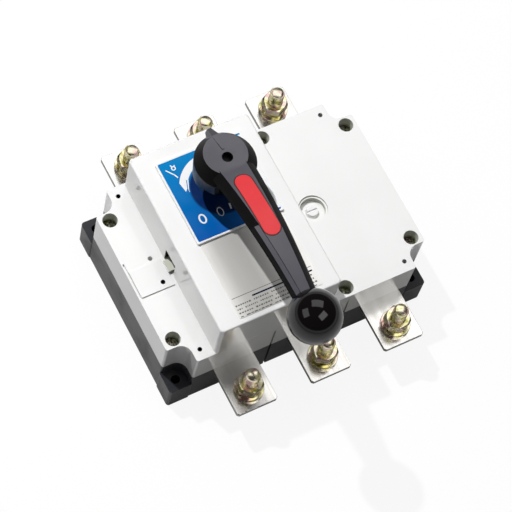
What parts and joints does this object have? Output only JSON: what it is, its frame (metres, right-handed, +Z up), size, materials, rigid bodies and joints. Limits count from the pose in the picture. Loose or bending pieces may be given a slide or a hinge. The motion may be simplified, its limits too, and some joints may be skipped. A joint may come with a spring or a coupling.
{
  "type": "changeover switch",
  "caption": "Manual changeover load switch: moulded base and cover, mechanism box with dial, rotary ball handle, bolted terminal bars front and back.",
  "frame": {"origin": "centre of the base's underside", "axes": "+X along the row of poles, away from the mechanism box; +Y from the handle's ball end to the back; +Z up from the mounting panel"},
  "size_m": [0.228, 0.2512, 0.1819],
  "materials": {
    "dark_plastic": "charcoal moulded thermoset, satin",
    "white_plastic": "ivory-white moulded plastic, semi-gloss",
    "screw_steel": "olive-tinted zinc-plated screw heads",
    "white_rim": "white printed rim, glossy",
    "blue_face": "bright blue printed face, glossy",
    "silver_plate": "satin silver sticker",
    "shaft_steel": "turned steel",
    "handle_plastic": "black moulded plastic with a grey sheen",
    "red_inlay": "red soft-gloss plastic",
    "ball_plastic": "glossy black phenolic",
    "tinned_copper": "tin-plated copper, bright with brushed streaks",
    "yellow_zinc": "yellow-passivated zinc plating on steel"
  },
  "bodies": {
    "switch": {"base": "dark_plastic", "cover": "white_plastic", "mechanism_box": "white_plastic", "cover_screws": "screw_steel", "side_plate": "white_plastic", "sight_plug": "white_plastic", "dial_frame": "white_rim", "dial_face": "blue_face", "rating_plate": "silver_plate", "front_bar_1": "tinned_copper", "front_bar_2": "tinned_copper", "front_bar_3": "tinned_copper", "back_bar_1": "tinned_copper", "back_bar_2": "tinned_copper", "back_bar_3": "tinned_copper", "front_bolt_1": "yellow_zinc", "front_bolt_2": "yellow_zinc", "front_bolt_3": "yellow_zinc", "back_bolt_1": "yellow_zinc", "back_bolt_2": "yellow_zinc", "back_bolt_3": "yellow_zinc", "front_washers": "yellow_zinc", "back_washers": "yellow_zinc", "front_spring_washers": "yellow_zinc", "back_spring_washers": "yellow_zinc", "front_nut_1": "yellow_zinc", "front_nut_2": "yellow_zinc", "front_nut_3": "yellow_zinc", "back_nut_1": "yellow_zinc", "back_nut_2": "yellow_zinc", "back_nut_3": "yellow_zinc"},
    "handle": {"shaft": "shaft_steel", "handle_head": "handle_plastic", "handle_arm": "handle_plastic", "handle_inlay": "red_inlay", "handle_ball": "ball_plastic"}
  },
  "joints": [
    {"name": "handle_turn", "type": "hinge", "parent": "switch", "child": "handle", "pos_m": [-0.028, 0.029, 0.1115], "axis": [0, 0, 1], "range_deg": [-90, 90]}
  ]
}
